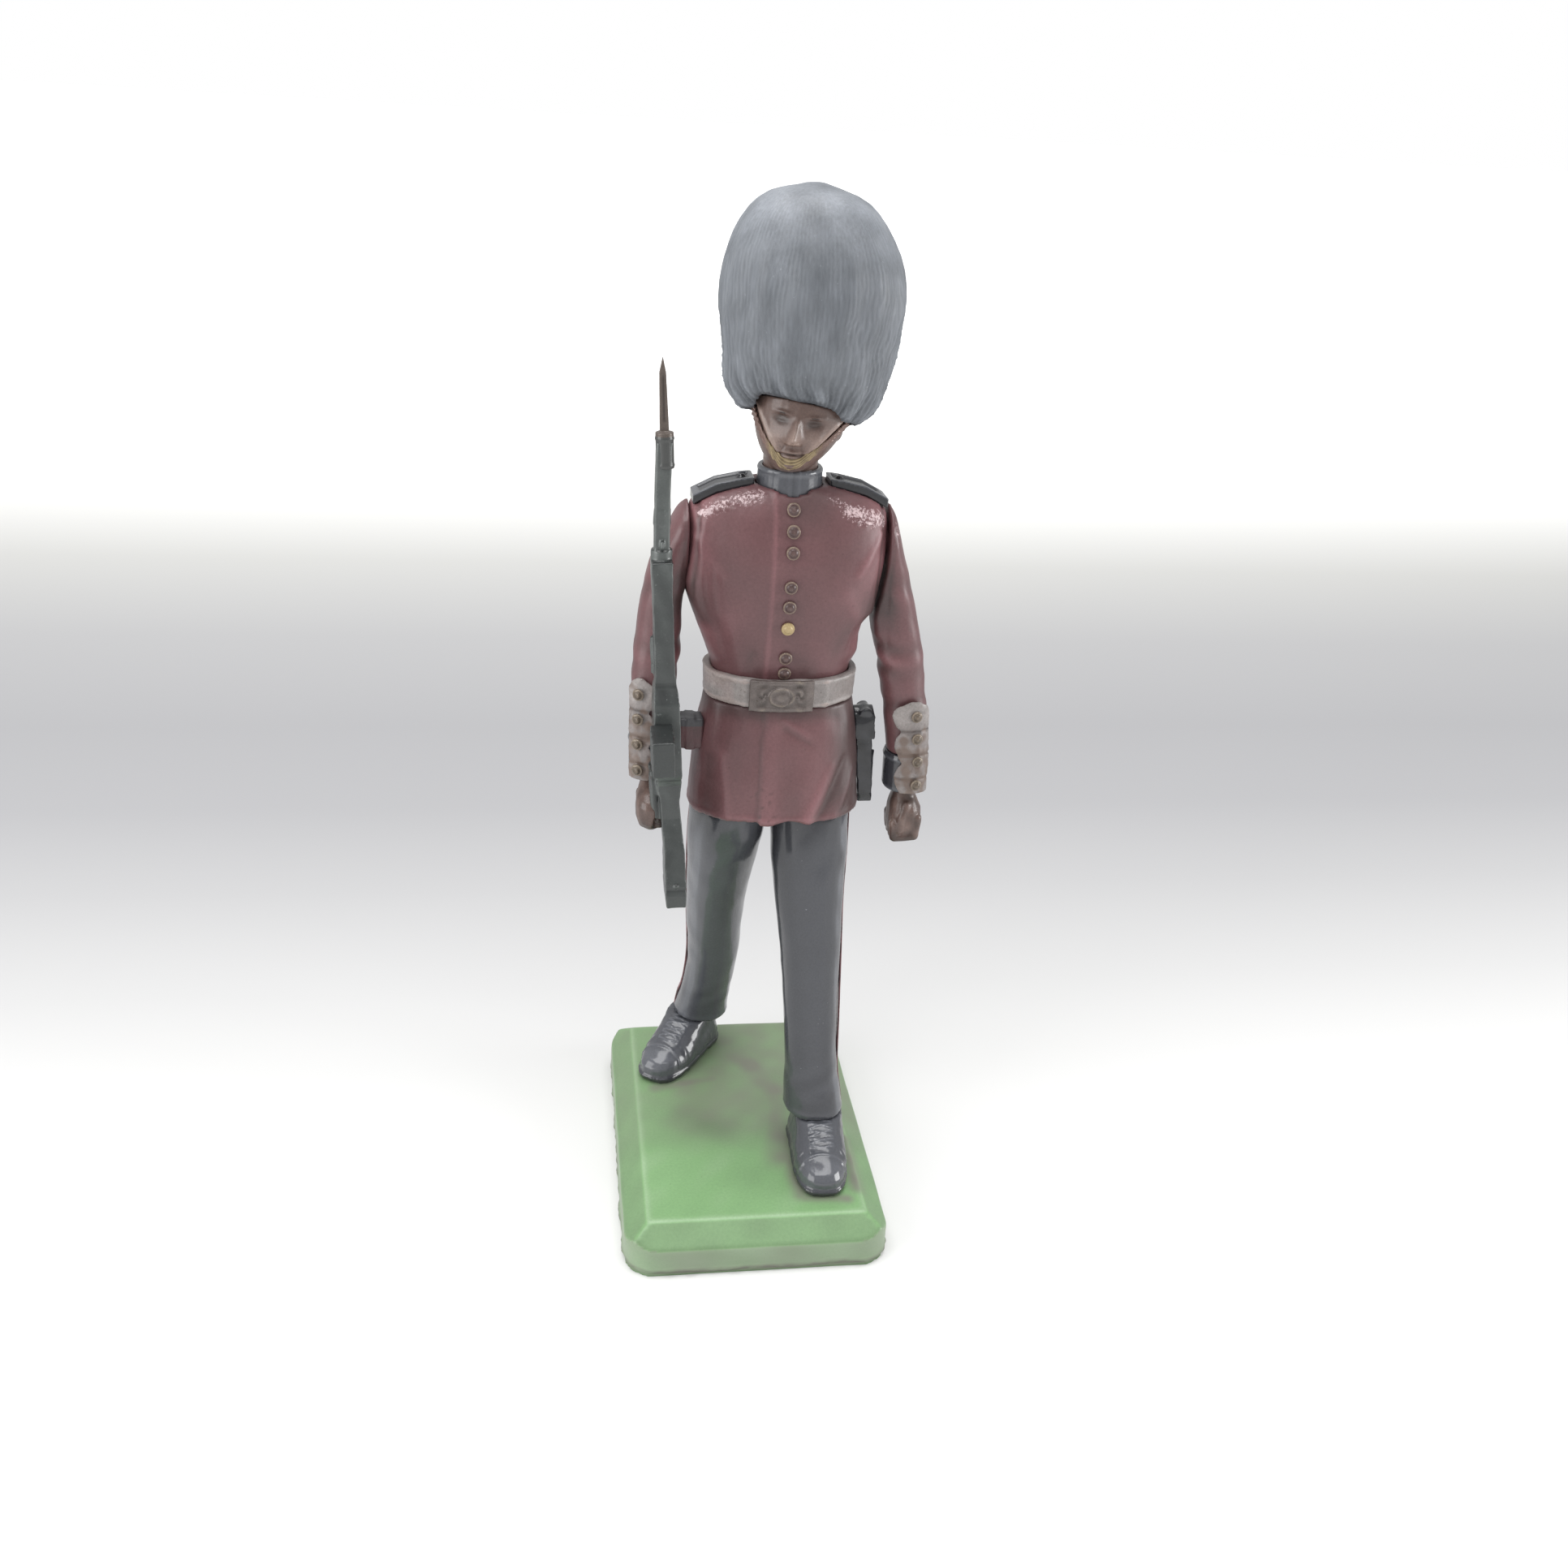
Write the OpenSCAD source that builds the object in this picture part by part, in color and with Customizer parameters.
// Toy foot guard, 54 mm size, marching on a bevelled plinth with a rifle carried upright.
// Millimetres. The origin is the middle of the plinth's underside: +X is the viewer's right,
// the figure faces -Y, +Z is up. Left and right are the figure's own.

/* [Plinth] */
// Width of the plinth, side to side
plinth_w = 20; // [18:0.5:26]
// Length of the plinth, front to back
plinth_l = 28.8; // [28:0.2:36]
// Height of the plinth's upright wall
plinth_wall_h = 2.4; // [2:0.1:4]
// Height that the bevel adds above the wall
plinth_bevel_h = 1.4; // [0.8:0.1:2.4]
// How far the bevel runs in from each side
plinth_bevel_run = 1.8; // [0.8:0.1:2]
// Radius of the plinth's upright corners
plinth_corner_r = 2.4; // [1:0.1:3.5]
// Width of the rim that the plinth stands on
plinth_rim = 1.3; // [0.8:0.1:2]
// Depth of the recess in the plinth's underside
plinth_recess_h = 1.8; // [1.2:0.1:2.4]

/* [Feet] */
// Length of a boot from the ankle's middle to the toe
boot_toe = 7.1; // [6:0.1:8]
// Length of a boot from the ankle's middle to the heel
boot_heel = 2.3; // [1.8:0.1:2.8]
// Width of a boot across the ball of the foot
boot_w = 4.6; // [4.2:0.1:4.8]
// Height of the trouser hem above the sole
boot_rise = 3.4; // [2.8:0.1:4.5]
// Distance of the left ankle from the plinth's middle, to the left
left_foot_x = 5.6; // [4.6:0.1:6]
// Distance of the left ankle in front of the plinth's middle
left_foot_y = 4.1; // [3:0.1:5]
// Turn of the left boot, toe inwards
left_foot_turn = 3; // [0:1:12]
// Distance of the right ankle from the plinth's middle, to the right
right_foot_x = 3.25; // [2.6:0.05:4]
// Distance of the right ankle behind the plinth's middle
right_foot_y = 10.2; // [8:0.1:10.4]
// Turn of the right boot, toe outwards
right_foot_turn = 33; // [15:1:40]
// Diameter of the pin that holds each foot down
pin_d = 1.6; // [1:0.1:1.8]
// Diameter of the pin's head, in the recess
pin_head_d = 2.8; // [2.2:0.1:3.4]
// Thickness of the pin's head
pin_head_h = 0.6; // [0.4:0.1:1]
// Length of pin above the plinth's top
pin_rise = 5.4; // [4.8:0.1:6]

/* [Legs] */
// Height of the tunic's lower edge above the trouser hem
leg_rise = 24.8; // [23:0.1:26]
// Width of a trouser leg at its hem
hem_w = 4.5; // [4.2:0.1:5]
// Depth of a trouser leg at its hem
hem_d = 4.9; // [4.7:0.1:5.4]
// Width of the left thigh
left_thigh_w = 5.95; // [5:0.05:6]
// Width of the right thigh
right_thigh_w = 5.7; // [5:0.05:5.8]
// Depth of a thigh, front to back
thigh_d = 6.5; // [5.6:0.1:7.2]
// Distance from one hip's middle to the other
hip_gap = 6.15; // [6.1:0.05:6.5]
// Diameter of the peg on top of each leg
leg_peg_d = 2.4; // [1.6:0.1:2.8]
// Length of the peg on top of each leg
leg_peg_l = 3; // [2:0.1:4]
// Width of the raised seam line down the outside of each leg
seam_line_w = 0.42; // [0.3:0.02:0.6]
// How far the seam line stands off the cloth
seam_line_t = 0.14; // [0.08:0.02:0.25]

/* [Tunic] */
// How far the body stands to the left of the plinth's middle
body_x = 1.25; // [0.8:0.05:1.6]
// How far the body's middle lies behind the plinth's middle
body_y = 0.9; // [0.4:0.1:1.6]
// Height of the tunic skirt, from its lower edge to the belt
skirt_h = 8.75; // [8:0.05:10]
// Width of the tunic skirt at its lower edge
skirt_w = 12.8; // [12.6:0.1:13]
// Depth of the tunic skirt at its lower edge
skirt_d = 9.3; // [8.8:0.1:10.4]
// Width of the tunic at the waist
waist_w = 9.8; // [9:0.1:10.2]
// Depth of the tunic at the waist
waist_d = 6.6; // [6:0.1:7]
// Width of the tunic at its armholes
chest_w = 13.66; // [13.6:0.02:14]
// Depth of the chest
chest_d = 8.1; // [7.6:0.1:8.8]
// Height of the tunic body, from the belt's lower edge to the neck
chest_h = 15.35; // [15:0.05:16.5]
// Diameter of the peg that joins the tunic body to the skirt
waist_peg_d = 3; // [2:0.1:3.6]
// Length of that peg
waist_peg_l = 3; // [2:0.1:4]
// Diameter of a tunic button
button_d = 0.9; // [0.6:0.05:1.1]
// How far a button stands off the cloth
button_h = 0.32; // [0.2:0.02:0.5]

/* [Belt and side arms] */
// Height of the belt
belt_h = 2.1; // [1.6:0.1:2.4]
// Thickness of the belt
belt_t = 0.55; // [0.4:0.05:0.7]
// Width of the belt plate
plate_w = 4.3; // [3.4:0.1:5]
// Height of the belt plate
plate_h = 2.3; // [1.8:0.1:2.6]
// Thickness of the belt plate
plate_t = 0.3; // [0.2:0.05:0.45]
// Height of the bayonet frog
frog_h = 2.3; // [2.1:0.1:2.8]
// Width of the bayonet frog, front to back
frog_d = 2.1; // [1.8:0.1:2.6]
// Thickness of the frog
frog_t = 1.1; // [0.9:0.05:1.2]
// Length of scabbard below the frog
scabbard_l = 5.4; // [4.5:0.1:6]
// Thickness of the scabbard
scabbard_t = 0.75; // [0.5:0.05:0.85]
// Width of the block that steadies the rifle
rest_d = 1.7; // [1.2:0.1:2.2]
// Height of that block
rest_h = 2.5; // [2:0.1:3]

/* [Collar and shoulder straps] */
// Diameter of the collar
collar_d = 4.6; // [4.4:0.05:4.8]
// Height of the collar
collar_h = 1.9; // [1.6:0.1:2.1]
// Width of a shoulder strap
strap_d = 2.3; // [1.8:0.1:2.6]
// Thickness of a shoulder strap
strap_t = 0.6; // [0.5:0.05:0.7]

/* [Head] */
// Width of the head
head_w = 6.1; // [5.6:0.1:6.4]
// Distance from the neck's axis to the front of the face
face_f = 3.2; // [2.9:0.05:3.4]
// Distance from the neck's axis to the back of the head
nape_b = 3.3; // [3:0.1:3.6]
// Height of the face, from the chin to the cap's rim
face_h = 4.15; // [3.6:0.05:4.4]
// Gap between the tunic's top and the chin
chin_gap = 1.15; // [1.1:0.05:1.5]
// How far the nose stands out
nose_h = 0.55; // [0.3:0.05:0.7]
// Diameter of the neck
neck_d = 3.7; // [3.2:0.05:3.8]
// Diameter of the peg under the neck
neck_peg_d = 2.2; // [1.6:0.1:2.6]
// Length of the peg under the neck
neck_peg_l = 2.4; // [1.8:0.1:3]
// Turn of the head to the figure's right, at rest
head_turn = 12; // [0:1:30]
// How far the skull sits to the left of the neck's axis
head_shift = 0.6; // [0:0.05:0.7]
// How far the fur cap sits to the left of the skull's middle
cap_shift = 0.3; // [0:0.05:0.5]

/* [Fur cap] */
// Width of the fur cap
cap_w = 12.1; // [11:0.1:12.6]
// Depth of the fur cap
cap_d = 11; // [10:0.1:12]
// Height of the fur cap
cap_h = 13.65; // [12:0.05:16]
// How far the fur hangs down over the ears and the nape
cap_droop = 1.1; // [0.8:0.1:1.3]
// Depth of the moulded fur strands
fur_t = 0.22; // [0.1:0.02:0.34]
// Number of strands round the cap
fur_n = 14; // [8:1:16]
// Diameter of the peg in the cap
crown_peg_d = 3.6; // [2.6:0.1:4]
// Length of the peg in the cap
crown_peg_l = 2.6; // [2:0.1:3.4]

/* [Arms] */
// Depth of the shoulder's axis below the tunic's top
shoulder_drop = 3.9; // [3.8:0.05:4.2]
// Radius of the round sleeve head
shoulder_r = 2.4; // [2.2:0.05:2.5]
// Gap between a sleeve and the armhole
armhole_gap = 0.12; // [0.1:0.01:0.25]
// Diameter of the peg on a sleeve
shoulder_peg_d = 2; // [1.4:0.1:2.2]
// Length of the peg on a sleeve
shoulder_peg_l = 2.6; // [2:0.1:3]
// Width of a sleeve
sleeve_w = 3.4; // [3.2:0.05:3.5]
// Depth of a sleeve
sleeve_d = 3.4; // [3.2:0.05:3.6]
// Distance from the right shoulder's axis to the end of its cuff
right_arm_l = 17.2; // [17:0.1:17.6]
// Distance from the left shoulder's axis to the end of its cuff
left_arm_l = 19; // [17.5:0.1:20]
// Height of a cuff
cuff_h = 2.95; // [2.4:0.05:3.2]
// How far a cuff stands off the sleeve
cuff_t = 0.16; // [0.1:0.02:0.2]
// Height of the slashed flash on each cuff
flash_h = 7.2; // [6:0.1:8]
// Thickness of the flash
flash_t = 0.16; // [0.1:0.02:0.25]
// Diameter of a cuff button
cuff_button_d = 0.8; // [0.5:0.05:0.9]
// Diameter of the peg on a wrist
wrist_peg_d = 1; // [0.7:0.05:1.1]
// Length of the peg on a wrist
wrist_peg_l = 2; // [1.5:0.1:2.4]
// Width of the right fist
right_hand_w = 2.25; // [2:0.05:2.4]
// Width of the left fist
left_hand_w = 2.6; // [2.2:0.05:2.8]
// Depth of a fist, front to back
hand_d = 2.9; // [2.6:0.05:3]
// Height of the right fist
right_hand_l = 3.6; // [3.2:0.1:4]
// Height of the left fist
left_hand_l = 4.2; // [3.4:0.1:4.6]

/* [Rifle] */
// Length of the rifle from butt to muzzle
rifle_l = 33.4; // [32:0.1:36]
// Height of the butt above the trouser hem
butt_rise = 19.3; // [18.6:0.1:20]
// Distance of the rifle's axis to the right of the plinth's middle, at the butt
rifle_x = 6.25; // [6.15:0.05:6.5]
// Distance of the rifle's rear side in front of the plinth's middle
rifle_y = 2.95; // [2.9:0.05:3.4]
// Lean of the rifle, muzzle outwards
rifle_lean = 2.6; // [2:0.1:3.5]
// Thickness of the receiver
receiver_w = 1.8; // [1.6:0.05:1.9]
// Thickness of the butt
butt_w = 1.45; // [1.2:0.05:1.6]
// Depth of the butt at its end
butt_d = 3.3; // [2.8:0.1:3.8]
// Thickness of the handguard
handguard_w = 1.45; // [1.2:0.05:1.6]
// Diameter of the barrel
barrel_d = 0.8; // [0.6:0.05:0.95]
// Diameter of the flash hider
hider_d = 1.05; // [1:0.05:1.2]
// Diameter of the pistol grip
grip_d = 0.8; // [0.6:0.05:0.9]
// Thickness of the magazine
magazine_w = 1.5; // [1.2:0.05:1.6]
// Depth of the magazine in front of the receiver
magazine_d = 2.6; // [2:0.1:3]
// Length of the magazine along the rifle
magazine_l = 2.5; // [2:0.1:2.8]
// Length of the bayonet's blade
blade_l = 5; // [4:0.1:6]
// Width of the bayonet's blade at its root
blade_w = 0.62; // [0.4:0.02:0.8]
// Thickness of the bayonet's blade
blade_t = 0.3; // [0.2:0.02:0.4]

/* [Fits] */
// Clearance between pieces that stay put
fit = 0.04; // [0.02:0.01:0.08]
// Running clearance on radius, for the pegs that turn
running_fit = 0.05; // [0.03:0.01:0.08]
// Spare depth at the blind end of a socket
socket_gap = 0.3; // [0.2:0.05:0.5]

/* [Hidden] */
// Overrun of the cuts
over = 0.5;
// Smoothness of true rounds
round_fn = 48;
// Heights of the main joins
sole_z = plinth_wall_h + plinth_bevel_h;
hem_z = sole_z + boot_rise;
skirt_z = hem_z + leg_rise;
waist_z = skirt_z + skirt_h;
tunic_z = waist_z + chest_h;
shoulder_z = tunic_z - shoulder_drop;
rifle_z = hem_z + butt_rise;
// Where the feet stand
left_foot = [left_foot_x, -left_foot_y, sole_z];
right_foot = [-right_foot_x, right_foot_y, sole_z];
// How far the middle of each hem lies off its ankle
left_hem_shift = [-0.3, 0.4];
right_hem_shift = [0.83, 0.3];
// How far the hips' middle lies off the body's middle
hips_shift = [-0.17, -0.1];
// Armhole planes and shoulder axis
armhole = chest_w / 2;
sleeve_x = armhole + armhole_gap;
// Slope of the fur cap's rim, up to the front and down to the left
rim_slope_share = [-0.14, -0.22];
// How far the neck's axis lies off the body's middle
neck_shift = [-0.1, -0.2];
neck = [body_x + neck_shift.x, body_y + neck_shift.y, tunic_z];
// How far each hand's middle lies outwards and forwards of its shoulder
hand_shift_right = [2.28, 3.25];
hand_shift_left = [3.1, 0.75];
// How far the end of each cuff leans outwards and forwards
cuff_shift_right = [-0.02, 0.5];
cuff_shift_left = [0.03, 0.2];
// How far the magazine and the grip lie outwards of the rifle's middle
magazine_shift = 0.5;
// Place of the pistol grip, outwards and forwards of the middle of the rifle's rear side
grip_at = [-0.95, -0.45];
// Drop of the shoulder strap's line towards the arm
strap_drop = 1.5;
// Drop of the frog's top below the belt
frog_drop = 1.55;
// How far the frog hangs behind the body's middle
side_y = 0.6;
// Space between the rifle rest and the rifle, and its seat in the skirt
rest_gap = 0.3;
rest_seat = 0.12;
// How far the rest lies in front of the body's middle
rest_front = 0.2;
// Thickness of the chin strap, and its gap to the face
chain_t = 0.16;
chain_gap = 0.08;

// Height share along the part, then shares of its sizes
boot_shares = [
    [0, 0.965, 0.98, 0.95, 3.1], [0.15, 1, 1.04, 1, 3.1], [0.2, 0.97, 0.98, 0.95, 3],
    [0.38, 0.965, 0.97, 0.97, 2.8], [0.52, 0.91, 0.96, 0.95, 2.5], [0.64, 0.77, 0.97, 0.91, 2.4],
    [0.77, 0.6, 0.98, 0.87, 2.3], [0.9, 0.45, 1, 0.85, 2.2], [1, 0.34, 1.02, 0.84, 2.1]
];
// For a leg: height, width, way from ankle to hip seen from the side, and from the front, left and right
leg_shares = [
    [0, 0.06, 0, 0, 0], [0.07, -0.06, 0.05, 0.12, 0.3], [0.14, -0.26, 0.12, 0.22, 0.8],
    [0.3, -0.14, 0.27, 0.35, 1.3], [0.5, 0.12, 0.48, 0.54, 0.85], [0.7, 0.5, 0.7, 0.82, 0.62],
    [0.86, 0.9, 0.88, 0.95, 0.78], [1, 1, 1, 1, 1]
];
skirt_shares = [[0, 1], [0.25, 0.86], [0.5, 0.66], [0.75, 0.4], [0.93, 0.14], [1, 0]];
tunic_shares = [
    [0, 0, 0, 2.3], [0.14, 0.04, 0.05, 2.3], [0.21, 0.27, 0.25, 2.3], [0.33, 0.58, 0.55, 2.4],
    [0.45, 0.83, 0.82, 2.5], [0.6, 1, 1, 2.6], [0.73, 1.04, 0.95, 2.7], [0.84, 1.02, 0.5, 2.7],
    [0.905, 0.86, -0.1, 2.6], [0.945, 0.45, -0.55, 2.5], [0.975, -0.25, -0.95, 2.4], [1, -1.05, -1.3, 2.2]
];
skull_shares = [
    [0, 0.4, 0.76, 0.42], [0.08, 0.53, 0.94, 0.55], [0.26, 0.74, 1, 0.72], [0.5, 0.91, 0.99, 0.9],
    [0.76, 1, 0.98, 1], [1, 1, 0.96, 1.02]
];
// For the cap: height, width, squareness, share of the droop and way of its middle to the left
cap_shares = [
    [0, 0.71, 2.1, 0.9, -0.05], [0.015, 0.765, 2.1, 1, -0.047], [0.045, 0.81, 2.1, 0.95, -0.042],
    [0.12, 0.87, 2.1, 0.6, -0.033], [0.28, 0.945, 2.1, 0, -0.016], [0.48, 1, 2.1, 0, -0.002],
    [0.58, 0.99, 2.1, 0, -0.004], [0.69, 0.93, 2.1, 0, -0.012], [0.8, 0.81, 2.05, 0, -0.026],
    [0.9, 0.64, 2, 0, -0.034], [0.96, 0.43, 2, 0, -0.036], [1, 0.1, 2, 0, -0.036]
];
// For a sleeve: height, inner side, outer side, front and back
right_sleeve_shares = [
    [0, 0.24, 1.09, 0.79, 0.1], [0.18, 0.18, 1.085, 0.62, 0.3], [0.315, 0.09, 1.065, 0.5, 0.48],
    [0.46, 0.07, 0.995, 0.46, 0.5], [0.6, 0.03, 0.905, 0.5, 0.53], [0.75, -0.16, 0.74, 0.58, 0.58],
    [0.856, -0.22, 0.51, 0.69, 0.69], [0.928, -0.22, 0.32, 0.6, 0.6], [0.976, -0.16, 0.16, 0.38, 0.38],
    [1, -0.04, 0.06, 0.1, 0.1]
];
left_sleeve_shares = [
    [0, 0.43, 1.29, 0.52, 0.38], [0.095, 0.35, 1.25, 0.49, 0.42], [0.22, 0.25, 1.2, 0.47, 0.47],
    [0.32, 0.12, 1.11, 0.47, 0.5], [0.42, 0.03, 1.03, 0.47, 0.53], [0.52, -0.03, 0.89, 0.49, 0.54],
    [0.65, -0.12, 0.695, 0.53, 0.56], [0.79, -0.2, 0.46, 0.6, 0.6], [0.867, -0.2, 0.315, 0.69, 0.69],
    [0.946, -0.2, 0.19, 0.6, 0.6], [0.978, -0.12, 0.13, 0.38, 0.38], [1, -0.04, 0.06, 0.1, 0.1]
];
hand_shares = [
    [0, 0.66, 0.7], [0.12, 0.68, 0.72], [0.3, 0.92, 0.96], [0.5, 1, 1], [0.75, 0.96, 0.94], [0.92, 0.7, 0.7],
    [1, 0.34, 0.4]
];

// Smooth curve through one column of a table of shares
function row(t, v, i = 0) = i >= len(t) - 2 || v < t[i + 1][0] ? i : row(t, v, i + 1);
function slope(t, i, c) =
    let(a = t[max(i - 1, 0)], b = t[min(i + 1, len(t) - 1)]) (b[c] - a[c]) / (b[0] - a[0]);
function at(t, v, c) =
    let(i = row(t, v), a = t[i], b = t[i + 1], h = b[0] - a[0], u = (v - a[0]) / h)
    a[c] * (1 - u) * (1 - u) * (1 + 2 * u) + b[c] * u * u * (3 - 2 * u)
    + h * u * (1 - u) * ((1 - u) * slope(t, i, c) - u * slope(t, i + 1, c));
function mix(a, b, u) = a + (b - a) * u;

// Point of a rounded outline: w to each side, f to the front, b to the back, n its squareness
function bow(v, n) = sign(v) * pow(abs(v), 2 / n);
function around(a, w, f, b, n) = [w * bow(cos(a), n), (sin(a) < 0 ? f : b) * bow(sin(a), n)];
function ring(p, w, f, b, n, sides) =
    [for (i = [0 : sides - 1]) let(q = around(360 * i / sides, w, f, b, n)) [p.x + q.x, p.y + q.y, p.z]];

// Closed skin over a stack of rings that turn anticlockwise seen from the last one
module skin(rings) {
    sides = len(rings[0]);
    last = len(rings) - 1;
    walls = [for (k = [0 : last - 1], i = [0 : sides - 1])
        let(j = (i + 1) % sides, a = k * sides, b = a + sides)
        each [[a + i, b + i, b + j], [a + i, b + j, a + j]]];
    foot = [[for (i = [0 : sides - 1]) i]];
    top = [[for (i = [0 : sides - 1]) last * sides + sides - 1 - i]];
    polyhedron([for (r = rings) each r], concat(foot, walls, top));
}

// Closed band: the last section meets the first
module band(sections) {
    sides = len(sections[0]);
    count = len(sections);
    walls = [for (k = [0 : count - 1], i = [0 : sides - 1])
        let(j = (i + 1) % sides, a = k * sides, b = (k + 1) % count * sides)
        each [[a + i, b + i, b + j], [a + i, b + j, a + j]]];
    polyhedron([for (s = sections) each s], walls);
}

// Domed button with its flat back at the origin, facing -Y
module button(d, h) {
    rotate([90, 0, 0]) {
        cylinder(h = h * 0.45, d = d, $fn = round_fn);
        translate([0, 0, h * 0.45]) cylinder(h = h * 0.55, d1 = d * 0.86, d2 = d * 0.5, $fn = round_fn);
    }
}

// Plinth
module rounded_slab(grow, h) {
    w = plinth_w + 2 * grow;
    l = plinth_l + 2 * grow;
    inset = 2 * (plinth_corner_r + grow);
    for (x = [-1, 1], y = [-1, 1])
        translate([x * (plinth_w / 2 - plinth_corner_r), y * (plinth_l / 2 - plinth_corner_r), 0])
            cylinder(h = h, r = plinth_corner_r + grow, $fn = round_fn);
    translate([-w / 2, inset / 2 - l / 2, 0]) cube([w, l - inset, h]);
    translate([inset / 2 - w / 2, -l / 2, 0]) cube([w - inset, l, h]);
}

module bevelled_block() {
    low = [plinth_w / 2, plinth_l / 2];
    high = low - [plinth_bevel_run, plinth_bevel_run];
    corner_shares = [[-1, -1], [1, -1], [1, 1], [-1, 1]];
    levels = [[low, 0], [low, plinth_wall_h], [high, sole_z]];
    skin([for (v = levels) [for (c = corner_shares) [c.x * v[0].x, c.y * v[0].y, v[1]]]]);
}

module plinth() {
    color("#7fb36a") difference() {
        intersection() {
            bevelled_block();
            rounded_slab(0, sole_z + over);
        }
        translate([0, 0, -over]) rounded_slab(-plinth_rim, plinth_recess_h + over);
        for (p = [left_foot, right_foot])
            translate([p.x, p.y, -over]) cylinder(h = sole_z + 2 * over, d = pin_d + 2 * fit, $fn = round_fn);
    }
}

module foot_pins() {
    color("#8d8f92") for (p = [left_foot, right_foot]) translate([p.x, p.y, 0]) {
        translate([0, 0, plinth_recess_h - pin_head_h])
            cylinder(h = pin_head_h, d1 = pin_head_d * 0.8, d2 = pin_head_d, $fn = round_fn);
        translate([0, 0, plinth_recess_h - pin_head_h])
            cylinder(h = sole_z + pin_rise - plinth_recess_h + pin_head_h, d = pin_d, $fn = round_fn);
    }
}

// Boots
function boot_ring(t) =
    let(n = at(boot_shares, t, 4))
    [for (i = [0 : 27]) let(
        q = around(360 * i / 28, boot_w / 2 * at(boot_shares, t, 3), boot_toe * at(boot_shares, t, 1),
            boot_heel * at(boot_shares, t, 2), n),
        waist = 1 - 0.12 * (1 - t) * max(0, 1 - abs(q.y / boot_toe + 0.2) / 0.3))
        [q.x * waist, q.y, t * (boot_rise - fit)]];

module boot(foot, turn) {
    color("#2b2c30") difference() {
        translate(foot) rotate([0, 0, turn]) skin([for (v = boot_shares) boot_ring(v[0])]);
        translate([foot.x, foot.y, sole_z - over])
            cylinder(h = boot_rise + 2 * over, d = pin_d + 2 * fit, $fn = round_fn);
    }
}

module left_boot() { boot(left_foot, -left_foot_turn); }
module right_boot() { boot(right_foot, -right_foot_turn); }

// Trouser legs: side is 1 for the left leg and -1 for the right
function hem_at(side) = side > 0 ? left_foot + [left_hem_shift.x, left_hem_shift.y, boot_rise]
    : right_foot + [right_hem_shift.x, right_hem_shift.y, boot_rise];
function hip_at(side) = [body_x + hips_shift.x + side * hip_gap / 2, body_y + hips_shift.y, skirt_z];
function thigh_w(side) = side > 0 ? left_thigh_w : right_thigh_w;
function leg_middle(side, t) =
    let(a = hem_at(side), b = hip_at(side), u = at(leg_shares, t, side > 0 ? 3 : 4), v = at(leg_shares, t, 2))
    [mix(a.x, b.x, u), mix(a.y, b.y, v), mix(a.z, b.z, t)];
function leg_w(side, t) = mix(hem_w, thigh_w(side), at(leg_shares, t, 1)) / 2;
function leg_d(t) = mix(hem_d, thigh_d, at(leg_shares, t, 1)) / 2;
function leg_point(side, t, a, off) =
    let(p = leg_middle(side, t), q = around(a, leg_w(side, t) + off, leg_d(t) + off, leg_d(t) + off, 2.2))
    [p.x + q.x, p.y + q.y, p.z];
leg_steps = [0, 0.03, 0.07, 0.12, 0.18, 0.26, 0.34, 0.42, 0.5, 0.58, 0.66, 0.74, 0.82, 0.9, 1];

module leg(side) {
    foot = side > 0 ? left_foot : right_foot;
    hip = hip_at(side);
    color("#2f3036") difference() {
        union() {
            skin([for (t = leg_steps) [for (i = [0 : 23]) leg_point(side, t, 15 * i, 0)]]);
            translate(hip - [0, 0, over]) cylinder(h = leg_peg_l + over, d = leg_peg_d, $fn = round_fn);
        }
        translate([foot.x, foot.y, hem_z - over])
            cylinder(h = pin_rise - boot_rise + socket_gap + over, d = pin_d + 2 * fit, $fn = round_fn);
    }
}

module left_leg() { leg(1); }
module right_leg() { leg(-1); }

// The seam line is a raised welt, laid on the outside of the leg
module seam_line(side) {
    near = fit / 2;
    far = near + seam_line_t;
    mid = side > 0 ? -8 : 172;
    color("#b3262c") skin([for (k = [0 : 28])
        let(t = 0.01 + 0.97 * k / 28, half = 90 * seam_line_w / PI / leg_d(t))
        [leg_point(side, t, mid - half, near), leg_point(side, t, mid - half, far),
         leg_point(side, t, mid + half, far), leg_point(side, t, mid + half, near)]]);
}

module left_seam_line() { seam_line(1); }
module right_seam_line() { seam_line(-1); }

// Tunic
skirt_top_w = waist_w + 1.8 * belt_t;
skirt_top_d = waist_d + 1.8 * belt_t;
function skirt_ring(t) =
    let(u = at(skirt_shares, t, 1), w = mix(skirt_top_w, skirt_w, u) / 2,
        d = mix(skirt_top_d, skirt_d, u) / 2)
    ring([body_x, body_y, mix(skirt_z, waist_z, t)], w, d, d, 2.3, 40);

module tunic_skirt() {
    color("#a5272d") difference() {
        skin([for (t = [0, 0.04, 0.14, 0.28, 0.42, 0.56, 0.7, 0.82, 0.92, 1]) skirt_ring(t)]);
        for (side = [-1, 1])
            translate(hip_at(side) - [0, 0, over])
                cylinder(h = leg_peg_l + socket_gap + over, d = leg_peg_d + 2 * fit, $fn = round_fn);
        translate([body_x, body_y, waist_z - waist_peg_l - socket_gap])
            cylinder(h = waist_peg_l + socket_gap + over, d = waist_peg_d + 2 * fit, $fn = round_fn);
    }
}

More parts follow.
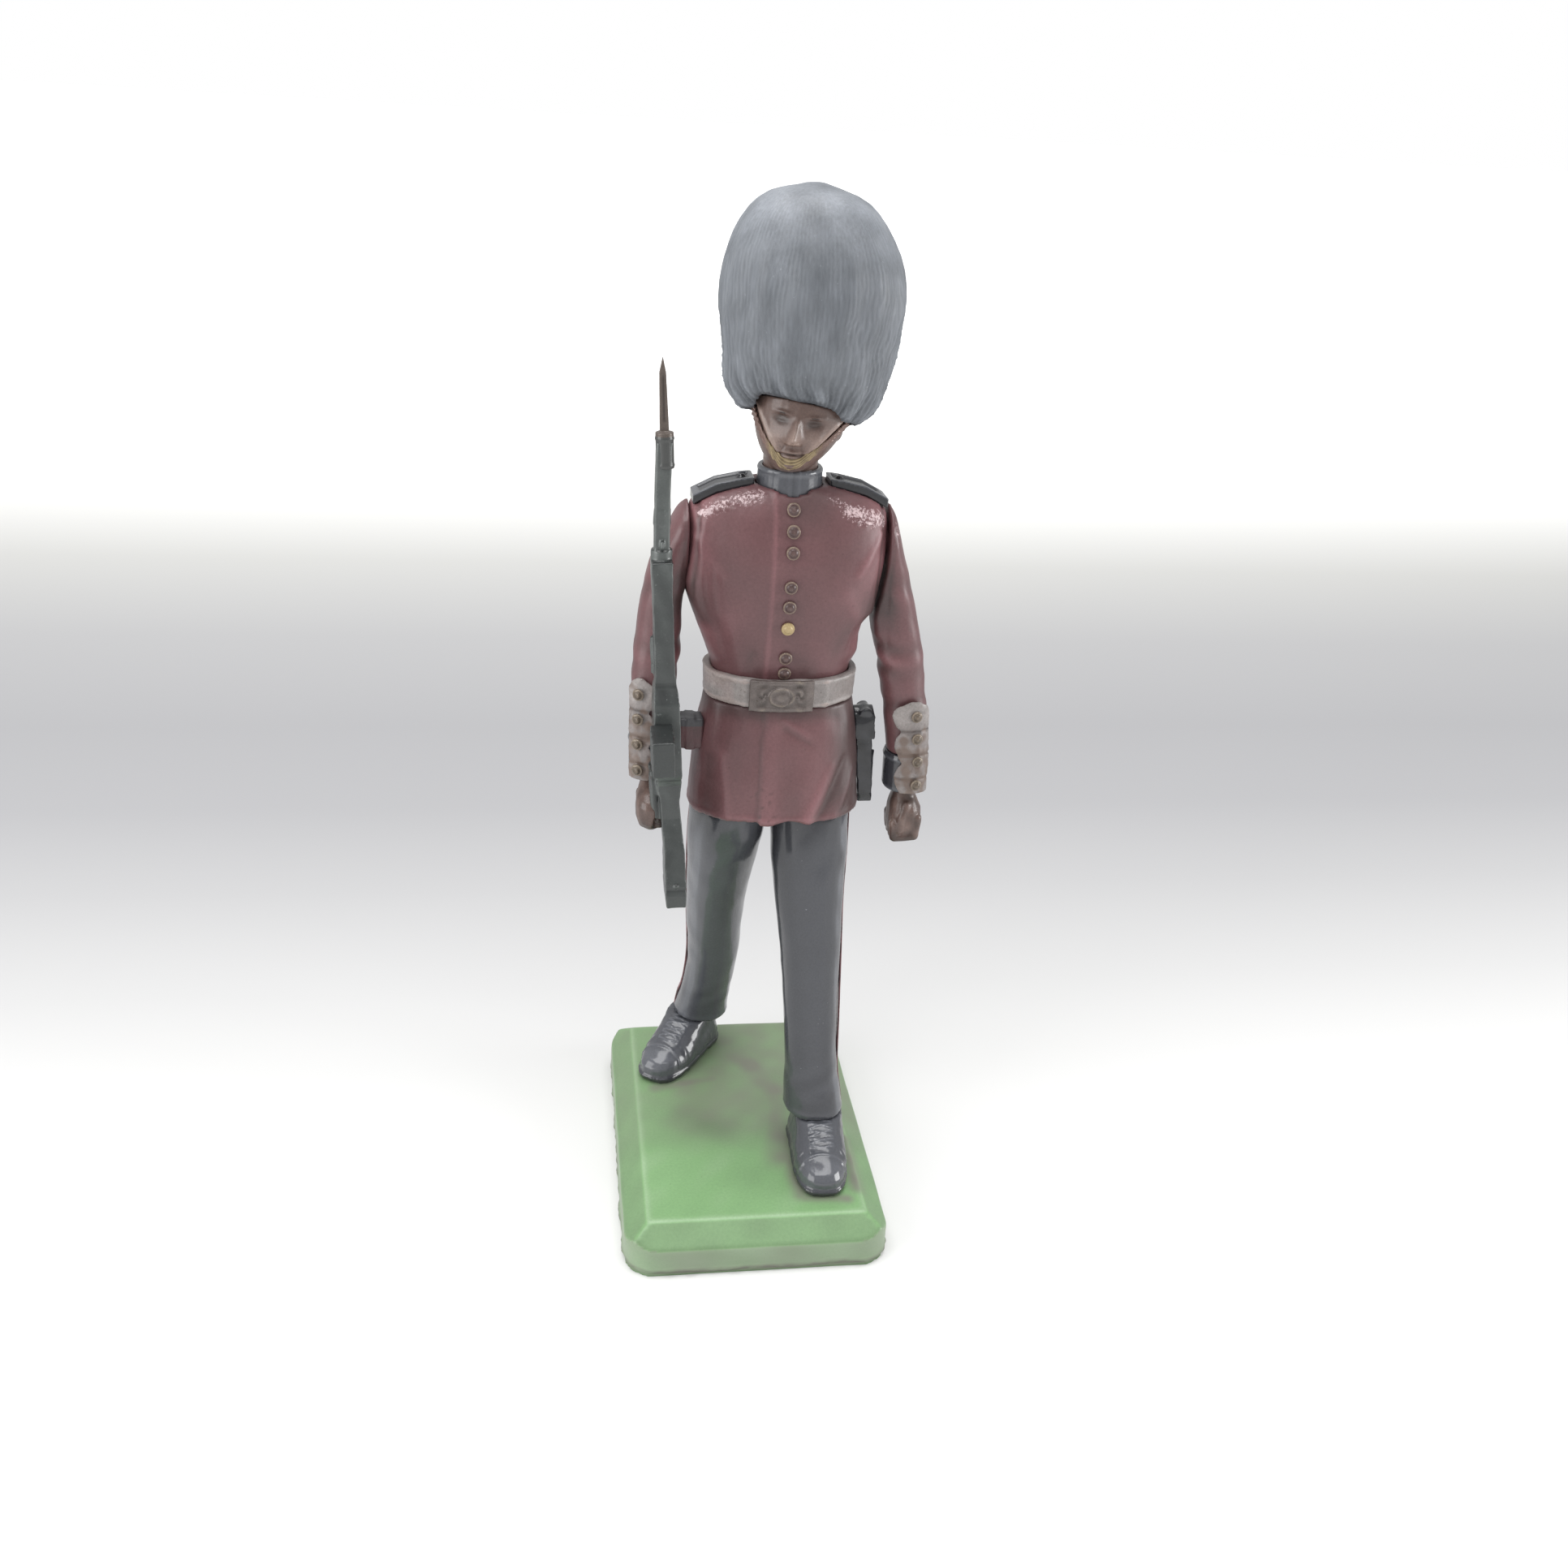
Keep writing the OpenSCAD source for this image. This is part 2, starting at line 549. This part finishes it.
function tunic_w(t) = mix(waist_w, chest_w, at(tunic_shares, t, 1)) / 2;
function tunic_d(t) = mix(waist_d, chest_d, at(tunic_shares, t, 2)) / 2;
function tunic_point(t, a, off) =
    let(n = at(tunic_shares, t, 3), q = around(a, tunic_w(t) + off, tunic_d(t) + off, tunic_d(t) + off, n))
    [body_x + min(max(q.x, -armhole), armhole), body_y + q.y, waist_z + t * chest_h];
function tunic_front(t) = body_y - tunic_d(t);
tunic_steps = [
    0, 0.07, 0.137, 0.17, 0.21, 0.27, 0.33, 0.39, 0.45, 0.52, 0.6, 0.68, 0.76, 0.84, 0.88, 0.915, 0.945,
    0.965, 0.985, 1
];

module tunic_body() {
    color("#a5272d") difference() {
        union() {
            skin([for (t = tunic_steps) [for (i = [0 : 39]) tunic_point(t, 9 * i, 0)]]);
            translate([body_x, body_y, waist_z - waist_peg_l])
                cylinder(h = waist_peg_l + over, d = waist_peg_d, $fn = round_fn);
        }
        translate([neck.x, neck.y, collar_z])
            cylinder(h = collar_h + over, d = collar_d + 2 * fit, $fn = round_fn);
        translate([neck.x, neck.y, collar_z - neck_peg_l - socket_gap])
            cylinder(h = neck_peg_l + socket_gap + over, d = neck_peg_d + 2 * running_fit, $fn = round_fn);
        for (side = [-1, 1]) {
            translate([body_x + side * (armhole + over), body_y, shoulder_z]) rotate([0, -90 * side, 0])
                cylinder(h = shoulder_peg_l - armhole_gap + socket_gap + over,
                    d = shoulder_peg_d + 2 * running_fit, $fn = round_fn);
            strap_block(side, fit, 2);
        }
    }
}

// Buttons stand on the middle of the front, in two threes and a pair near the belt
button_shares = [0.917, 0.83, 0.741, 0.586, 0.494, 0.39, 0.244, 0.168];
module front_buttons() {
    color("#c9a24a") for (t = button_shares) let(step = 0.02, rise = 2 * step * chest_h,
        lean = atan((tunic_front(t + step) - tunic_front(t - step)) / rise))
        translate([body_x + hips_shift.x, tunic_front(t) - fit, waist_z + t * chest_h]) rotate([-lean, 0, 0])
            button(button_d, button_h);
}

module back_buttons() {
    t = 0.9;
    u = at(skirt_shares, t, 1);
    gap = 1.6 * button_d;
    back = mix(skirt_top_d, skirt_d, u) / 2;
    color("#c9a24a") for (side = [-1, 1])
        translate([body_x + side * gap, body_y + back + fit, mix(skirt_z, waist_z, t)])
            rotate([0, 0, 180]) button(button_d, button_h);
}

// Belt: a closed band round the waist
function belt_section(a, near, far, z0, z1) =
    [tunic_belt(a, near, z0), tunic_belt(a, far, z0), tunic_belt(a, far, z1), tunic_belt(a, near, z1)];
function tunic_belt(a, off, z) = let(p = tunic_point((z - waist_z) / chest_h, a, off)) [p.x, p.y, z];

module belt() {
    color("#d9d5cf") band([for (i = [39 : -1 : 0])
        belt_section(9 * i, fit, belt_t, waist_z + fit, waist_z + belt_h)]);
}

// Belt plate: curved to the belt, with a round boss, a little to the figure's right
plate_turn = 3.6;
module belt_plate() {
    half = 56 * plate_w / PI / (waist_d / 2 + belt_t);
    near = belt_t + fit;
    mid_z = waist_z + belt_h / 2;
    boss = tunic_belt(-90 - plate_turn, near + plate_t / 2, mid_z);
    color("#b08d45") union() {
        skin([for (k = [0 : 10]) let(a = -90 - plate_turn + half - 2 * half * k / 10)
            belt_section(a, near, near + plate_t, mid_z - plate_h / 2, mid_z + plate_h / 2)]);
        translate(boss) rotate([90, 0, 0]) cylinder(h = plate_t, d = plate_h * 0.62, $fn = round_fn);
    }
}

// Collar, sunk a little in the top of the tunic
collar_z = tunic_z + chin_gap - collar_h;
module collar() {
    color("#202124") translate([neck.x, neck.y, collar_z]) difference() {
        cylinder(h = collar_h - fit, d1 = collar_d, d2 = collar_d * 0.95, $fn = round_fn);
        translate([0, 0, -over])
            cylinder(h = collar_h + 2 * over, d = neck_d + 2 * running_fit, $fn = round_fn);
    }
}

// Shoulder straps: flat bars that follow the slope of the shoulder
strap_shares = [[0.385, 0], [0.5, -0.05], [0.75, -0.3], [0.985, -0.85]];
function strap_line(lift) = [for (v = strap_shares) [v[0] * armhole, v[1] * strap_drop + lift]];
module strap_block(side, grow, tall) {
    low = strap_line(-strap_t / 2 - grow);
    high = strap_line(strap_t * (tall - 0.5));
    tip = strap_line(0)[3];
    translate([body_x, body_y, tunic_z]) scale([side, 1, 1]) intersection() {
        rotate([90, 0, 0]) translate([0, 0, -strap_d / 2 - grow])
            linear_extrude(strap_d + 2 * grow) polygon(concat(low, [high[3], high[2], high[1], high[0]]));
        translate([0, -strap_d / 2 - grow, -chest_h]) cube([tip.x + grow, strap_d + 2 * grow, 2 * chest_h]);
    }
}

module left_shoulder_strap() { color("#202124") strap_block(1, 0, 1); }
module right_shoulder_strap() { color("#202124") strap_block(-1, 0, 1); }

// Frog and scabbard hang down the left side of the skirt
side_lean = 3.2;
function side_x(z) = body_x + mix(skirt_top_w, skirt_w, at(skirt_shares, (z - skirt_z) / skirt_h, 1)) / 2;
frog_z = waist_z - frog_h - frog_drop;
module at_side(z) {
    translate([side_x(z) + fit, body_y + side_y, z]) rotate([0, -side_lean, 0]) children();
}

module frog() {
    color("#26272b") at_side(frog_z) difference() {
        union() {
            translate([0, -frog_d / 2, 0]) cube([frog_t, frog_d, frog_h - frog_d / 2]);
            translate([0, 0, frog_h - frog_d / 2]) rotate([0, 90, 0])
                cylinder(h = frog_t, d = frog_d, $fn = round_fn);
        }
        translate([(frog_t - scabbard_t) / 2 - fit, -scabbard_d / 2 - fit, -over])
            cube([scabbard_t + 2 * fit, scabbard_d + 2 * fit, frog_h * 0.5 + over]);
    }
}

scabbard_d = frog_d * 0.72;
module scabbard() {
    wide = scabbard_d / 2;
    tip = scabbard_d * 0.55;
    top = frog_h * 0.5 - fit;
    color("#26272b") at_side(frog_z) translate([(frog_t - scabbard_t) / 2, 0, 0]) rotate([90, 0, 90])
        linear_extrude(scabbard_t) polygon([[-wide, top], [-wide, tip - scabbard_l], [-tip / 2, -scabbard_l],
            [tip / 2, -scabbard_l], [wide, tip - scabbard_l], [wide, top]]);
}

// The block on the right hip, which ends just short of the rifle
rest_z = waist_z - rest_h * 1.6;
module rifle_rest() {
    reach = rifle_x - receiver_w / 2 + tan(rifle_lean) * (rest_z - rifle_z) - rest_gap;
    seat = side_x(rest_z) - 2 * body_x + rest_seat;
    color("#8a3136") translate([-reach, body_y - rest_front - rest_d, rest_z])
        cube([reach - seat, rest_d, rest_h]);
}

// Head, about the neck's axis
module at_neck() {
    translate(neck) rotate([0, 0, -head_turn]) children();
}
function rim(x, y) = rim_slope_share.x * x + rim_slope_share.y * y;
function skull_point(t, a, off) =
    let(w = head_w / 2 * at(skull_shares, t, 1) + off, f = face_f * at(skull_shares, t, 2) + off,
        b = nape_b * at(skull_shares, t, 3) + off, q = around(a, w, f, b, 2.15), s = head_shift * t,
        z = chin_gap + t * face_h)
    [q.x + s, q.y, z + t * rim(q.x + s, q.y)];
function nose_share(t, i) =
    max(0, 1 - 0.6 * abs(i - 24)) * (t < 0.46 ? 0 : max(0, min(1, (0.94 - t) / 0.44)));
skull_steps = [0, 0.05, 0.12, 0.2, 0.3, 0.42, 0.5, 0.58, 0.67, 0.76, 0.85, 0.94, 1];

module head() {
    color("#9a7256") at_neck() union() {
        skin([for (t = skull_steps) [for (i = [0 : 31])
            skull_point(t, 11.25 * i, 0) - [0, nose_h * nose_share(t, i), 0]]]);
        translate([0, 0, collar_base])
            cylinder(h = chin_gap - collar_base + face_h / 3, d = neck_d, $fn = round_fn);
        translate([0, 0, collar_base - neck_peg_l])
            cylinder(h = neck_peg_l + over, d = neck_peg_d, $fn = round_fn);
        translate([head_shift, 0, chin_gap + face_h / 2])
            cylinder(h = face_h / 2 + crown_peg_l, d = crown_peg_d, $fn = round_fn);
    }
}
collar_base = chin_gap - collar_h + fit;

// Chin strap: a thin band from ear to ear, under the lip
function strap_t_at(a) = 0.06 + 0.72 * pow(abs(cos(a)), 2.3);
strap_h_share = 0.16;
module chin_strap() {
    color("#b8924a") at_neck() skin([for (k = [0 : 24]) let(a = -2 - 176 * k / 24, t = strap_t_at(a))
        [skull_point(t, a, chain_gap), skull_point(t, a, chain_gap + chain_t),
         skull_point(t + strap_h_share, a, chain_gap + chain_t), skull_point(t + strap_h_share, a, chain_gap)]]);
}

// Fur cap: the strands are waves round its outline that drift as they rise; the rim hangs down
// over the ears and the nape, round a flat seat for the skull
function cap_mid(t) = head_shift + cap_shift + cap_w * at(cap_shares, t, 4);
seat_share = 0.62;
function seat_z(x, y) = chin_gap + face_h + fit + rim(x, y);
function seat_point(a) =
    let(q = around(a, cap_w / 2 * seat_share, cap_d / 2 * seat_share, cap_d / 2 * seat_share, 2.1))
    [q.x + cap_mid(0), q.y, seat_z(q.x + cap_mid(0), q.y)];
function open_at(a) = let(v = min(1, max(0, (-sin(a) - 0.62) / 0.26))) v * v * (3 - 2 * v);
function cap_point(t, a) =
    let(w = at(cap_shares, t, 1),
        tuft = 1 + fur_t / cap_w * (sin(fur_n * a + 70 * sin(430 * t)) + 0.6 * sin(5 * a + 500 * t)),
        q = around(a, cap_w / 2 * w, cap_d / 2 * w, cap_d / 2 * w, at(cap_shares, t, 2)) * tuft,
        fade = (1 - t) * (1 - t), hang = (1 - 0.3 * cos(a)) * (1 - 0.95 * open_at(a)), x = q.x + cap_mid(t))
    [x, q.y, chin_gap + face_h + fit + t * cap_h + fade * rim(x, q.y)
        - cap_droop * hang * at(cap_shares, t, 3)];
cap_steps = [
    0, 0.015, 0.045, 0.08, 0.12, 0.17, 0.23, 0.29, 0.35, 0.41, 0.47, 0.53, 0.59, 0.65, 0.71, 0.77, 0.83, 0.88,
    0.92, 0.955, 0.98, 1
];

module fur_cap() {
    color("#4b4d52") at_neck() difference() {
        skin(concat([[for (i = [0 : 55]) seat_point(360 * i / 56)]],
            [for (t = cap_steps) [for (i = [0 : 55]) cap_point(t, 360 * i / 56)]]));
        translate([head_shift, 0, chin_gap + face_h / 2])
            cylinder(h = face_h / 2 + crown_peg_l + socket_gap, d = crown_peg_d + 2 * fit, $fn = round_fn);
    }
}

// Arms are drawn outwards from the armhole plane, with the shoulder's axis at the origin
module at_shoulder(side) {
    translate([body_x, body_y, shoulder_z]) scale([side, 1, 1]) translate([sleeve_x, 0, 0]) children();
}
function arm_l(side) = side > 0 ? left_arm_l : right_arm_l;
function sleeve_shares(side) = side > 0 ? left_sleeve_shares : right_sleeve_shares;
function sleeve_point(side, t, a, off) =
    let(s = sleeve_shares(side), near = sleeve_w * at(s, t, 1), far = sleeve_w * at(s, t, 2),
        front = sleeve_d * at(s, t, 3), back = sleeve_d * at(s, t, 4),
        w = (far - near) / 2, d = (front + back) / 2,
        q = around(a, w + off, d + off, d + off, 2.2))
    [max(0, (near + far) / 2 + q.x), (back - front) / 2 + q.y, mix(cuff_h - arm_l(side), shoulder_r, t)];
sleeve_steps = [
    0, 0.07, 0.14, 0.21, 0.28, 0.34, 0.4, 0.46, 0.53, 0.6, 0.67, 0.74, 0.8, 0.86, 0.905, 0.94, 0.965, 0.985, 1
];

module sleeve(side) {
    color("#b02a30") at_shoulder(side) difference() {
        union() {
            skin([for (t = sleeve_steps) [for (i = [0 : 23]) sleeve_point(side, t, 15 * i, 0)]]);
            translate([-shoulder_peg_l, 0, 0]) rotate([0, 90, 0])
                cylinder(h = shoulder_peg_l + over, d = shoulder_peg_d, $fn = round_fn);
        }
        wrist_bore(side);
    }
}

// Middle of the hand, outwards and forwards of the shoulder's axis
function hand_shift(side) = side > 0 ? hand_shift_left : hand_shift_right;
function cuff_shift(side) = side > 0 ? cuff_shift_left : cuff_shift_right;
function wrist(side) =
    let(a = sleeve_point(side, 0, 0, 0), b = sleeve_point(side, 0, 180, 0), s = cuff_shift(side))
    [(a.x + b.x) / 2 + s.x, a.y - s.y, -arm_l(side)];
module wrist_bore(side) {
    translate(wrist(side) - [0, 0, over])
        cylinder(h = wrist_peg_l + socket_gap + over, d = wrist_peg_d + 2 * fit, $fn = round_fn);
}

function cuff_point(side, u, a, off) =
    let(p = sleeve_point(side, 0, a, cuff_t + off), s = cuff_shift(side))
    [p.x + s.x * (1 - u), p.y - s.y * (1 - u), mix(-arm_l(side), cuff_h - arm_l(side) - fit, u)];
module cuff(side) {
    color("#222327") at_shoulder(side) difference() {
        skin([for (u = [0, 0.12, 0.9, 1]) [for (i = [0 : 23])
            cuff_point(side, u, 15 * i, u == 0 ? -cuff_t : u == 1 ? -cuff_t / 3 : 0)]]);
        wrist_bore(side);
    }
}

// Cuff flash: lies on cuff and sleeve, its outer edge in three scallops
function arm_surface(side, z, a, off) =
    let(low = -arm_l(side), top = low + cuff_h, u = (z - low) / cuff_h, t = (z - top) / (shoulder_r - top))
    u < 1 ? cuff_point(side, u, a, off) : sleeve_point(side, t, a, cuff_t + off);
flash_steps = 18;
function flash_mid(side) = side > 0 ? -78 : -58;
module cuff_flash(side) {
    near = fit;
    far = near + flash_t;
    mid = flash_mid(side);
    wide = side > 0 ? 1.3 : 1;
    color("#cfcac2") at_shoulder(side) skin([for (k = [0 : flash_steps]) let(v = k / flash_steps,
        z = -arm_l(side) + 2 * fit + v * flash_h,
        round_top = v > 0.88 ? 1 - pow((v - 0.88) / 0.12, 2) * 0.8 : 1,
        outer = 34 * wide * round_top, inner = (24 + 14 * abs(sin(540 * v))) * wide * round_top)
        concat([for (i = [0 : 5]) arm_surface(side, z, mid + outer - (outer + inner) * i / 5, near)],
            [for (i = [5 : -1 : 0]) arm_surface(side, z, mid + outer - (outer + inner) * i / 5, far)])]);
}

cuff_button_shares = [0.12, 0.38, 0.62, 0.86];
module cuff_buttons(side) {
    color("#c9a24a") at_shoulder(side) for (v = cuff_button_shares) let(z = -arm_l(side) + v * flash_h,
        p = arm_surface(side, z, flash_mid(side), fit * 3 + flash_t))
        translate(p) rotate([0, 0, 90 + flash_mid(side)]) button(cuff_button_d, button_h);
}

// Hands: fists with a thumb
hand_steps = [1, 0.92, 0.82, 0.7, 0.58, 0.46, 0.34, 0.22, 0.12, 0];
module hand(side, l, hand_w) {
    s = hand_shift(side);
    w = wrist(side);
    color("#9a7256") at_shoulder(side) union() {
        skin([for (t = hand_steps) let(u = min(1, t * 2.5))
            ring([mix(w.x, s.x, u), mix(w.y, -s.y, u), -arm_l(side) - fit - t * l],
                hand_w / 2 * at(hand_shares, t, 1), hand_d / 2 * at(hand_shares, t, 2),
                hand_d / 2 * at(hand_shares, t, 2), 2.3, 20)]);
        translate([w.x, w.y, -arm_l(side) - fit - hand_w / 3])
            cylinder(h = wrist_peg_l + hand_w / 3, d = wrist_peg_d, $fn = round_fn);
    }
}

module left_sleeve() { sleeve(1); }
module left_cuff() { cuff(1); }
module left_cuff_flash() { cuff_flash(1); }
module left_cuff_buttons() { cuff_buttons(1); }
module left_hand() { hand(1, left_hand_l, left_hand_w); }
module right_sleeve() { sleeve(-1); }
module right_cuff() { cuff(-1); }
module right_cuff_flash() { cuff_flash(-1); }
module right_cuff_buttons() { cuff_buttons(-1); }
module right_hand() {
    color("#9a7256") difference() {
        hand(-1, right_hand_l, right_hand_w);
        at_rifle() translate([grip_at.x, grip_at.y, 0])
            cylinder(h = grip_top, d = grip_d + 2 * fit, $fn = round_fn);
        at_rifle() translate([-neck_w / 2 - fit, -butt_d, 0])
            cube([neck_w + 2 * fit, butt_d + fit, grip_top]);
    }
}

// Rifle: drawn upright from the middle of its butt, rear side on the plane y = 0
module at_rifle() {
    translate([-rifle_x, -rifle_y, rifle_z]) rotate([0, -rifle_lean, 0]) children();
}
grip_top = rifle_l * 0.31;
neck_w = butt_w * 1.1;
side_shares = [
    [0.02, 0], [0, 0.02], [0, 0.475], [-0.12, 0.5], [-0.12, 0.76], [-0.62, 0.76], [-0.66, 0.5], [-0.86, 0.47],
    [-0.86, 0.31], [-0.62, 0.28], [-0.56, 0.2], [-0.95, 0.03], [-0.88, 0]
];
front_shares = [
    [0.46, 0], [0.5, 0.03], [0.44, 0.24], [0.5, 0.29], [0.5, 0.49], [0.44, 0.53], [0.4, 0.76]
];
barrel_y = -butt_d * 0.28;

module rifle() {
    side_line = [for (v = side_shares) [v[0] * butt_d, v[1] * rifle_l]];
    front_half = [for (v = front_shares) [v[0] * (v[1] < 0.27 ? butt_w * 1.05 : receiver_w), v[1] * rifle_l]];
    front_line = concat(front_half,
        [for (i = [len(front_half) - 1 : -1 : 0]) [-front_half[i].x, front_half[i].y]]);
    stub = grip_top * 0.4;
    block = [magazine_w, butt_d * 0.55, rifle_l * 0.055];
    color("#3b423c") at_rifle() union() {
        translate([grip_at.x, grip_at.y, grip_top - stub]) cylinder(h = stub, d = grip_d, $fn = round_fn);
        translate([-magazine_shift - block.x / 2, -block.y, grip_top + fit - block.z]) cube(block);
        intersection() {
            rotate([90, 0, 90]) translate([0, 0, -receiver_w])
                linear_extrude(2 * receiver_w) polygon(side_line);
            rotate([90, 0, 0]) linear_extrude(butt_d) polygon(front_line);
        }
        translate([0, barrel_y, rifle_l * 0.74]) cylinder(h = rifle_l * 0.26, d = barrel_d, $fn = round_fn);
        translate([0, barrel_y + barrel_d * 0.62, rifle_l * 0.74])
            cylinder(h = rifle_l * 0.11, d = barrel_d * 0.7, $fn = round_fn);
        translate([0, barrel_y, rifle_l * 0.83])
            cylinder(h = rifle_l * 0.03, d = hider_d * 1.1, $fn = round_fn);
        translate([0, barrel_y, rifle_l * 0.75])
            cylinder(h = rifle_l * 0.03, d = handguard_w, $fn = round_fn);
    }
}

module magazine() {
    top = rifle_l * 0.43;
    well = -butt_d * 0.86 - fit;
    front = well - magazine_d;
    color("#353b36") at_rifle() rotate([90, 0, 90]) translate([0, 0, -magazine_shift - magazine_w / 2])
        linear_extrude(magazine_w) polygon([[well, top], [well, top - magazine_l],
            [front, top - magazine_l * 1.12], [front, top - magazine_l * 0.12]]);
}

module bayonet() {
    grip = rifle_l * 0.06;
    color("#6f6a63") at_rifle() translate([0, barrel_y, rifle_l]) {
        difference() {
            translate([0, 0, -grip]) cylinder(h = grip + blade_t, d = hider_d * 1.12, $fn = round_fn);
            translate([0, 0, -grip - over])
                cylinder(h = grip + over + fit, d = barrel_d + 2 * fit, $fn = round_fn);
        }
        rotate([90, 0, 0]) translate([0, 0, -blade_t / 2]) linear_extrude(blade_t)
            polygon([[-blade_w / 2, 0], [blade_w / 2, 0], [blade_w * 0.3, blade_l * 0.8], [0, blade_l],
                [-blade_w * 0.4, blade_l * 0.8]]);
    }
}

plinth();
foot_pins();
left_boot();
right_boot();
left_leg();
right_leg();
left_seam_line();
right_seam_line();
tunic_skirt();
tunic_body();
front_buttons();
back_buttons();
belt();
belt_plate();
collar();
left_shoulder_strap();
right_shoulder_strap();
frog();
scabbard();
rifle_rest();
head();
chin_strap();
fur_cap();
right_sleeve();
right_cuff();
right_cuff_flash();
right_cuff_buttons();
right_hand();
rifle();
magazine();
bayonet();
left_sleeve();
left_cuff();
left_cuff_flash();
left_cuff_buttons();
left_hand();
